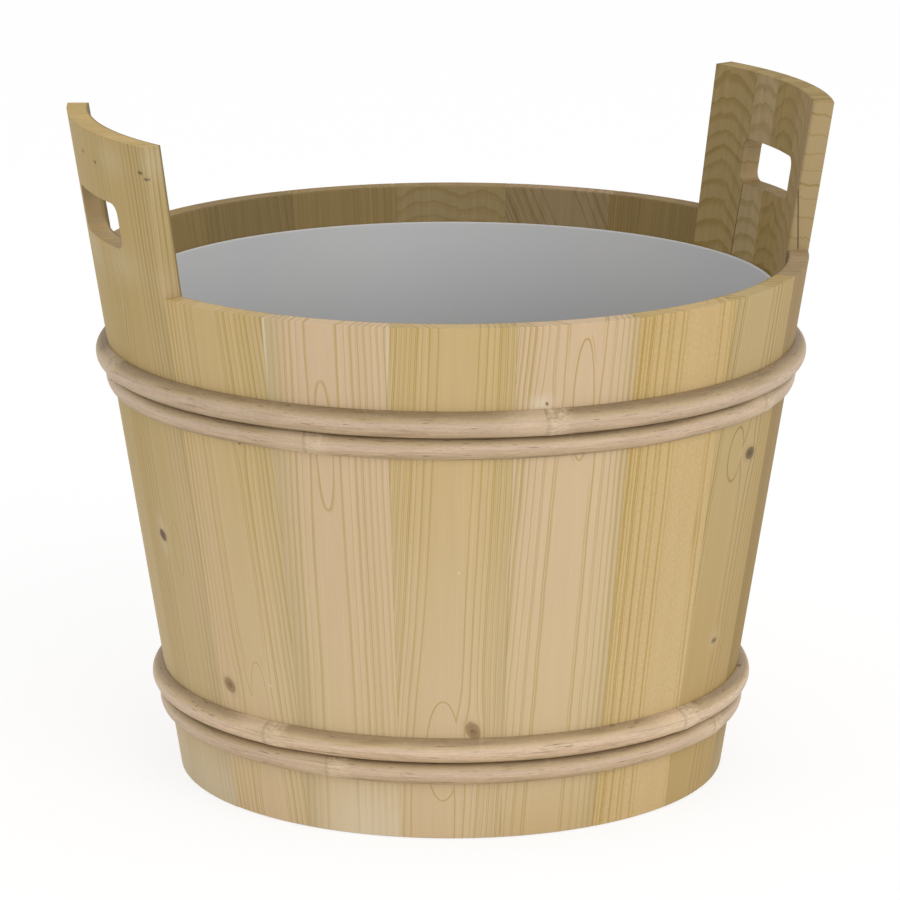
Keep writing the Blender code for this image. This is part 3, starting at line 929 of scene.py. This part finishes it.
def buildHoopTree():
    numbers = ["Start", "Turn", "Thickness", "Half width", "Radius", "Scarf", "Seed"]
    numbers += ["First knuckle", "Knuckle turn", "Swell", "Ridge", "Uneven"]
    vectors = ["Back", "Outward", "Upward"]
    tree, size = newGeometryTree("cane_hoop", {"Float": numbers, "Int": ["Steps"], "Vector": vectors})
    outline = geoWire(tree, "MeshToCurve", {"Mesh": size["Geometry"]})
    body, place, share = sweep(tree, outline, size["Steps"])
    offset = vectorMath("SUBTRACT", place, size["Back"])
    lift = vectorMath("DOT_PRODUCT", offset, size["Outward"], "Value") / size["Thickness"]
    across = vectorMath("DOT_PRODUCT", offset, size["Upward"], "Value") / size["Half width"]
    angle = share * size["Turn"] + size["Start"] + (lift - 0.5) * size["Scarf"] / size["Radius"]
    count = (angle - size["First knuckle"]) / size["Knuckle turn"] + 0.5
    knuckle = (count.math("FRACT") - 0.5) * size["Knuckle turn"] * size["Radius"]
    ringX, ringY = angle.math("COSINE"), angle.math("SINE")
    rough = noiseWire(tree, joinXyz(tree, ringX, ringY, size["Seed"]), 5.0)
    push = (knuckle - 0.006).bell(0.0065) * size["Swell"] + knuckle.bell(0.0010) * size["Ridge"]
    push = (push + (rough - 0.5) * size["Uneven"] * 2.0) * lift
    r, _, z = splitXyz(place)
    outR, _, outZ = splitXyz(size["Outward"])
    r = r + push * outR
    bent = joinXyz(tree, r * ringX, r * ringY, z + push * outZ)
    place = joinXyz(tree, angle * size["Radius"], across, knuckle)
    marks = {"Geometry": movePoints(tree, body, bent), "Name": "cane", "Value": place}
    body = geoWire(tree, "StoreNamedAttribute", marks, data_type="FLOAT_VECTOR", domain="POINT")
    endTree(tree, body, size["Material"])
    return tree


def buildHoops():
    tree = buildHoopTree()
    for seed, (name, (knuckle, shade)) in enumerate(hoopLooks.items(), 1):
        r, _, z, _ = nodePoints(name)
        along, proud = leaningFrame(r, z)
        middle = float(along.min() + along.max()) / 2
        half = float(along.max() - along.min()) / 2
        back = float(proud.min())
        thick = float(proud.max() - back) * hoop["crown"]
        arcs = [math.pi * step / hoop["sides"] for step in range(hoop["sides"] + 1)]
        outline = [fromLeaning(middle + half * math.cos(a), back + thick * math.sin(a)) for a in arcs]
        centreR, centreZ = fromLeaning(middle, back)
        pins = [middleTurn(f"{name.replace('hoop', 'pin')}_{side}") for side in (1, 2)]
        lean = tub["lean"]
        values = {
            **hoop,
            "Start": sum(pins) / 2,
            "Turn": 2 * math.pi - hoop["scarfGap"] / centreR,
            "Back": (centreR, 0, centreZ),
            "Outward": (math.cos(lean), 0, -math.sin(lean)),
            "Upward": (math.sin(lean), 0, math.cos(lean)),
            "Thickness": thick,
            "Half width": half,
            "Radius": centreR,
            "First knuckle": math.radians(knuckle),
            "Seed": float(seed),
            "Material": caneMaterial(name, seed, shade),
        }
        piece = runTree(name + "_cane", outlineMesh(name, outline), tree, values)
        smoothMesh(piece.data)
        placePiece(piece, "bucket", "cane", name)


buildHoops()
print("hoops built:", len(hoopLooks))


# pins that hold the hoop ends

pin = {"Head height": 0.0009, "Shank": 0.0008, "Length": 0.0085, "Segments": 20, "Rings": 10}


def steelMaterial():
    material, tree, shader = newMaterial("pin_steel")
    place = objectPlace(tree)
    dull = noiseWire(tree, place, 1800.0, 3.0)
    face = mixColour(tree, dull, colour(150, 147, 142), colour(186, 184, 180))
    plugAll(tree, shader, {"Base Color": face, "Roughness": dull * 0.3 + 0.22, "Metallic": 1.0})
    return material


def buildPinTree():
    numbers = ["Head radius", "Head height", "Shank", "Length", "Lean"]
    tree, size = newGeometryTree("hoop_pins", {"Float": numbers, "Int": ["Segments", "Rings"]})
    head = {"Segments": size["Segments"], "Rings": size["Rings"], "Radius": 1.0}
    head = geoWire(tree, "MeshUVSphere", head)
    flat = joinXyz(tree, size["Head radius"], size["Head radius"], size["Head height"])
    head = geoWire(tree, "Transform", {"Geometry": head, "Scale": flat})
    rod = {"Vertices": size["Segments"], "Radius": size["Shank"], "Depth": size["Length"]}
    rod = geoWire(tree, "MeshCylinder", rod)
    down = joinXyz(tree, 0.0, 0.0, size["Length"] * -0.5)
    rod = geoWire(tree, "Transform", {"Geometry": rod, "Translation": down})
    whole = addNode(tree, "GeometryNodeMeshBoolean", {1: head}, operation="UNION", solver="EXACT")
    plug(tree, rod, whole.inputs[1])  # one socket takes both
    whole = geoWire(tree, "MergeByDistance", {"Geometry": wire(whole), "Distance": doubled})
    x, y, _ = splitXyz(geoWire(tree, "InputPosition"))
    stand = joinXyz(tree, 0.0, size["Lean"] + math.pi / 2, y.math("ARCTAN2", x))
    stand = addNode(tree, "FunctionNodeEulerToRotation", {0: stand})
    spread = {"Points": size["Geometry"], "Instance": whole, "Rotation": wire(stand)}
    spread = geoWire(tree, "InstanceOnPoints", spread)
    endTree(tree, spread, size["Material"])
    return tree


def buildPins():
    names = sorted(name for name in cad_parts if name.startswith("pin_"))
    seats = []
    for name in names:
        r, _, z, _ = nodePoints(name)
        along, proud = leaningFrame(r, z)
        radius, height = fromLeaning((along.min() + along.max()) / 2, proud.max() - pin["Head height"])
        turn = middleTurn(name)
        seats.append((radius * math.cos(turn), radius * math.sin(turn), height))
        headRadius = float(along.max() - along.min()) / 2
    values = {**pin, "Head radius": headRadius, "Lean": tub["lean"], "Material": steelMaterial()}
    piece = runTree("hoop_pins", newMesh("pin_seats", seats), buildPinTree(), values)
    smoothMesh(piece.data)
    placePiece(piece, "bucket", "steel", *names)
    return len(names)


print("pins built:", buildPins())


# grey liner, a turned tub with a rounded foot and lip

linerLook = {
    "steps": 200,
    "corner": 0.0160,
    "cornerSteps": 12,
    "lipSteps": 8,
    "grey": colour(201, 201, 201),
    "cool": colour(198, 199, 201),
    # painted shade: the inside of the liner is painted darker towards the bottom
    "deep": colour(159, 159, 159),
    "deepShadeDrop": 0.13,
    # painted highlight: a paler band along the top of the lip
    "edge": colour(208, 206, 204),
    "lipHighlightDepth": 0.0006,
}


def plasticMaterial(top):
    material, tree, shader = newMaterial("liner_plastic")
    place = objectPlace(tree)
    cloud = noiseWire(tree, place, 9.0)
    grit = noiseWire(tree, place, 900.0)
    face = mixColour(tree, cloud.fade(0.35, 0.65), linerLook["grey"], linerLook["cool"])
    height = splitXyz(place)[2]
    up = splitXyz(wire(tree.nodes.new("ShaderNodeNewGeometry"), "Normal"))[2]
    # painted shade: the inside is painted darker towards the bottom
    deep = height.fade(top, top - linerLook["deepShadeDrop"]) * up.fade(-0.05, 0.05)  # inside only
    face = mixColour(tree, deep, face, linerLook["deep"])
    # painted highlight along the top of the lip
    edge = height.fade(top - linerLook["lipHighlightDepth"], top - linerLook["lipHighlightDepth"] * 0.3)
    plugAll(tree, shader, {
        "Base Color": mixColour(tree, edge, face, linerLook["edge"]),
        "Roughness": cloud * 0.10 + grit * 0.10 + 0.36,
        "Specular IOR Level": 0.4,
        "Normal": bumpWire(tree, 0.12, 0.0002, grit),
    })
    return material


def arcPoints(centre, radius, start, end, steps):
    turns = [start + (end - start) * step / steps for step in range(steps + 1)]
    return [(centre[0] + radius * math.cos(a), centre[1] + radius * math.sin(a)) for a in turns]


def turnedMesh(name, profile, steps):  # (radius, height) pairs turned about Z, closed at the axis
    turns = [2 * math.pi * step / steps for step in range(steps)]
    points = [(r * math.cos(a), r * math.sin(a), z) for a in turns for r, z in profile]
    first, last = len(points), len(points) + 1
    points += [(0, 0, profile[0][1]), (0, 0, profile[-1][1])]
    rows = len(profile)
    faces = []
    for step in range(steps):
        here = step * rows
        there = (step + 1) % steps * rows
        faces += [(here + i, there + i, there + i + 1, here + i + 1) for i in range(rows - 1)]
        faces += [(here, first, there), (there + rows - 1, last, here + rows - 1)]
    return newMesh(name, points, faces=faces)


def buildLiner():
    r, _, z, _ = nodePoints("liner")
    top, low = float(z.max()), float(z.min())
    atTop = r[z > top - tiny]
    outer = float(atTop.max())
    lean = tub["lean"]
    wall = float(atTop.max() - atTop.min()) * math.cos(lean)
    corner = linerLook["corner"]
    centreZ = low + corner
    centre = (outer - (top - centreZ) * tub["taper"] - corner / math.cos(lean), centreZ)
    lipZ = top - wall / 2
    lip = (outer - (top - lipZ) * tub["taper"] - wall / 2 / math.cos(lean), lipZ)
    steps = linerLook["cornerSteps"]
    profile = [
        *arcPoints(centre, corner, -math.pi / 2, -lean, steps),
        *arcPoints(lip, wall / 2, -lean, math.pi - lean, linerLook["lipSteps"]),
        *arcPoints(centre, corner - wall, -lean, -math.pi / 2, steps),
    ]
    mesh = turnedMesh("liner_shell", profile, linerLook["steps"])
    mesh.shade_smooth()
    mesh.materials.append(plasticMaterial(top))
    placePiece(addObject("liner_shell", mesh), "liner", "grey_plastic", "liner")


buildLiner()
print("liner turned")


# bottom planks and their dowels keep their frame shapes

bottom = {
    "tone": "olive", "ring": 0.0030, "depth": 0.024, "plain": 0.020, "wander": 0.003, "lineStrength": 0.55,
}


def plankMaterial(name, seed):
    low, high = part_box(name)
    board = {**spruce, **bottom, "seed": seed, "pith": 0.006 * (seed % 3 - 1)}
    material, tree, shader = newMaterial("spruce_" + name)
    x, y, z = splitXyz(objectPlace(tree))
    grain = joinXyz(tree, y - (low.y + high.y) / 2, x, (z - high.z) * -0.5)
    nx, ny, nz = splitXyz(wire(tree.nodes.new("ShaderNodeNewGeometry"), "Normal"))
    facing = joinXyz(tree, ny, nx, nz * -1.0)
    return spruceMaterial(name, board, grain, facing, material, tree, shader)


def beechMaterial():
    material, tree, shader = newMaterial("beech_dowel")
    place = objectPlace(tree)
    stretched = addNode(tree, "ShaderNodeMapping", {"Vector": place, "Scale": (900.0, 40.0, 900.0)})
    fleck = noiseWire(tree, wire(stretched), 1.0, 3.0)
    face = mixColour(tree, fleck.fade(0.3, 0.7), colour(188, 148, 108), colour(206, 168, 128))
    plugAll(tree, shader, {"Base Color": face, "Roughness": fleck * 0.2 + 0.5})
    return material


def dressBottom():
    beech = beechMaterial()
    for seed, name in enumerate(sorted(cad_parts), 70):
        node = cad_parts[name]
        if name.startswith("bottom_plank"):
            node.data.materials.clear()
            node.data.materials.append(plankMaterial(name, seed))
        elif name.startswith("bottom_dowel"):
            node.data.materials.clear()
            node.data.materials.append(beech)


dressBottom()
print("bottom dressed")


# camera, light and floor

view = {
    "turn": math.radians(-20),
    "dip": math.radians(14.08),
    "distance": 2.7028,
    "height": 0.8570,
    "lens": 197.2,
    "sensor": 36,
    "shift": -1 / 900,  # the bucket stands a pixel right of the middle
}


def buildCamera():
    camera = bpy.data.cameras.new("camera")
    camera.lens = view["lens"]
    camera.sensor_width = view["sensor"]
    camera.shift_x = view["shift"]
    holder = addObject("camera", camera)
    reach = view["distance"]
    holder.location = (reach * math.sin(view["turn"]), -reach * math.cos(view["turn"]), view["height"])
    holder.rotation_euler = (math.pi / 2 - view["dip"], 0, view["turn"])
    scene.camera = holder


studio = {
    "sky": 0.75,
    "key": 26.0,
    "keySize": 2.4,
    "keyPlace": (0.3, -2.6, 2.0),
    "floorRadius": 7.0,
    "floorSides": 96,
    "floorDrop": 0.0004,
    "white": 1.10,
    "shadow": 0.30,
}


def buildStudio():
    world = bpy.data.worlds.new("studio")
    scene.world = world
    world.use_nodes = True
    sky = world.node_tree.nodes["Background"]
    plugAll(world.node_tree, sky, {"Color": (1, 1, 1, 1), "Strength": studio["sky"]})
    lamp = bpy.data.lights.new("key", "AREA")
    lamp.shape = "DISK"
    lamp.size = studio["keySize"]
    lamp.energy = studio["key"]
    key = addObject("key", lamp)
    key.location = studio["keyPlace"]
    key.rotation_euler = (-key.location).to_track_quat("-Z", "Y").to_euler()
    edge = arcPoints((0, 0), studio["floorRadius"], 0, 2 * math.pi, studio["floorSides"])[1:]
    mesh = newMesh("floor", [(x, y, -studio["floorDrop"]) for x, y in edge], faces=[range(len(edge))])
    floor = addObject("floor", mesh)
    material, tree, shader = newMaterial("white_floor")
    matt = {"Base Color": (0.95, 0.95, 0.95, 1), "Roughness": 0.9, "Specular IOR Level": 0.0}
    plugAll(tree, shader, matt)
    path = tree.nodes.new("ShaderNodeLightPath")
    seen = wire(path, "Is Camera Ray").math("MAXIMUM", wire(path, "Is Glossy Ray"))
    seen = seen.math("MAXIMUM", wire(path, "Is Transmission Ray"))
    white = addNode(tree, "ShaderNodeEmission", {"Color": (1, 1, 1, 1), "Strength": studio["white"]})
    blend = {0: seen * (1 - studio["shadow"]), 1: Wire(tree, shader.outputs[0]), 2: wire(white)}
    blend = addNode(tree, "ShaderNodeMixShader", blend)
    plug(tree, wire(blend), tree.nodes["Material Output"].inputs["Surface"])
    mesh.materials.append(material)


buildCamera()
buildStudio()
scene.view_settings.view_transform = "Standard"
print("camera, light and floor set")
